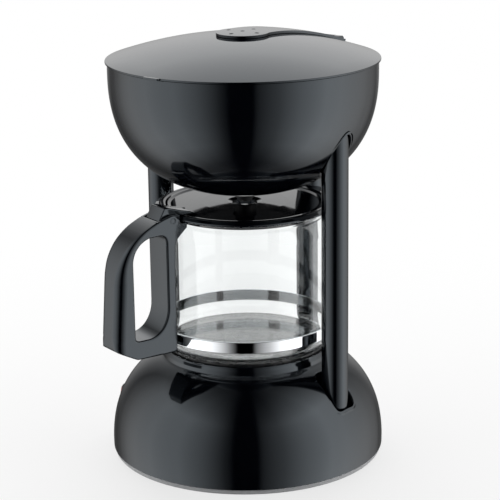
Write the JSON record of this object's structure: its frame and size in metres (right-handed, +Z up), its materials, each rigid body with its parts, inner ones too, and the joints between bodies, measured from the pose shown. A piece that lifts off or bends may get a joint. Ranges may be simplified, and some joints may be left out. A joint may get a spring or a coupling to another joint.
{
  "type": "drip coffee maker",
  "caption": "Drip coffee maker with a domed base, round posts, a bowl-shaped water tank with a hinged lid, and a glass jug with a handle and chrome band",
  "frame": {"origin": "centre of the base plate's flat underside, on the axis through the base, jug and lid", "axes": "+Z up; -Y is the open front, where the jug is drawn out; +X is the right-hand post seen from the front"},
  "size_m": [0.2067, 0.2262, 0.3181],
  "materials": {
    "gloss_black": "glossy moulded plastic",
    "satin_black": "fine satin texture",
    "pale_plastic": "plain moulded",
    "foot_rubber": "matt",
    "fastener_steel": "zinc plated",
    "plate_coating": "non-stick coating",
    "heater_aluminium": "as extruded",
    "hose_silicone": "translucent silicone",
    "terminal_plastic": "plain moulded",
    "clear_glass": "clear and polished",
    "band_chrome": "mirror",
    "filter_gold": "fine woven mesh",
    "rocker_red": "glossy"
  },
  "bodies": {
    "frame": {"base_plate": "pale_plastic", "base_screw_1": "fastener_steel", "base_screw_2": "fastener_steel", "base_screw_3": "fastener_steel", "base_shell": "gloss_black", "bowl_housing": "gloss_black", "bracket_screw": "fastener_steel", "check_valve": "satin_black", "cord_gland": "foot_rubber", "feed_grommet": "foot_rubber", "feed_tube": "hose_silicone", "filter_basket": "satin_black", "filter_mesh": "filter_gold", "foot_1": "foot_rubber", "foot_2": "foot_rubber", "foot_3": "foot_rubber", "foot_4": "foot_rubber", "heater_bracket": "fastener_steel", "heater_element": "heater_aluminium", "heater_water_tube": "heater_aluminium", "hose_heater_side": "hose_silicone", "hose_riser_side": "hose_silicone", "hose_tank_side": "hose_silicone", "lid_hinge_bracket": "satin_black", "lid_hinge_pin": "fastener_steel", "post_left": "gloss_black", "post_nut_left": "fastener_steel", "post_nut_rear": "fastener_steel", "post_nut_right": "fastener_steel", "post_rear": "gloss_black", "post_right": "gloss_black", "riser_grommet": "foot_rubber", "riser_tube": "hose_silicone", "switch_bezel": "satin_black", "terminal_block": "terminal_plastic", "thermal_fuse": "hose_silicone", "thermostat": "satin_black", "warming_plate": "plate_coating", "water_tank": "satin_black", "wire_live": "hose_silicone", "wire_neutral": "hose_silicone"},
    "lid": {"lid": "gloss_black", "vent_cover": "gloss_black", "lid_duct": "satin_black", "duct_seal": "foot_rubber", "shower_head": "satin_black"},
    "power_rocker": {"power_rocker": "rocker_red"},
    "drip_stop": {"drip_stop_plunger": "satin_black", "drip_stop_spring": "fastener_steel"},
    "jug": {"jug_glass": "clear_glass", "jug_band": "band_chrome", "jug_collar": "gloss_black", "jug_handle": "gloss_black", "jug_handle_screw": "fastener_steel", "jug_lid_pin": "fastener_steel"},
    "jug_lid": {"jug_lid": "gloss_black"}
  },
  "joints": [
    {"name": "lid_hinge", "type": "hinge", "parent": "frame", "child": "lid", "pos_m": [0, 0.103, 0.2975], "axis": [-1, 0, 0], "range_deg": [0, 95]},
    {"name": "power_rocker_tilt", "type": "hinge", "parent": "frame", "child": "power_rocker", "pos_m": [-0.09711, -0.02602, 0.028], "axis": [0.1926, 0.0516, 0.9799], "range_deg": [0, 12]},
    {"name": "drip_stop_drop", "type": "slide", "parent": "frame", "child": "drip_stop", "axis": [0, 0, 1], "range_m": [-0.003, 0]},
    {"name": "jug_draw", "type": "slide", "parent": "frame", "child": "jug", "axis": [0, -1, 0], "range_m": [0, 0.2]},
    {"name": "jug_lid_hinge", "type": "hinge", "parent": "jug", "child": "jug_lid", "pos_m": [-0.02022, -0.06827, 0.1898], "axis": [0.9588, -0.284, 0], "range_deg": [0, 6]}
  ]
}
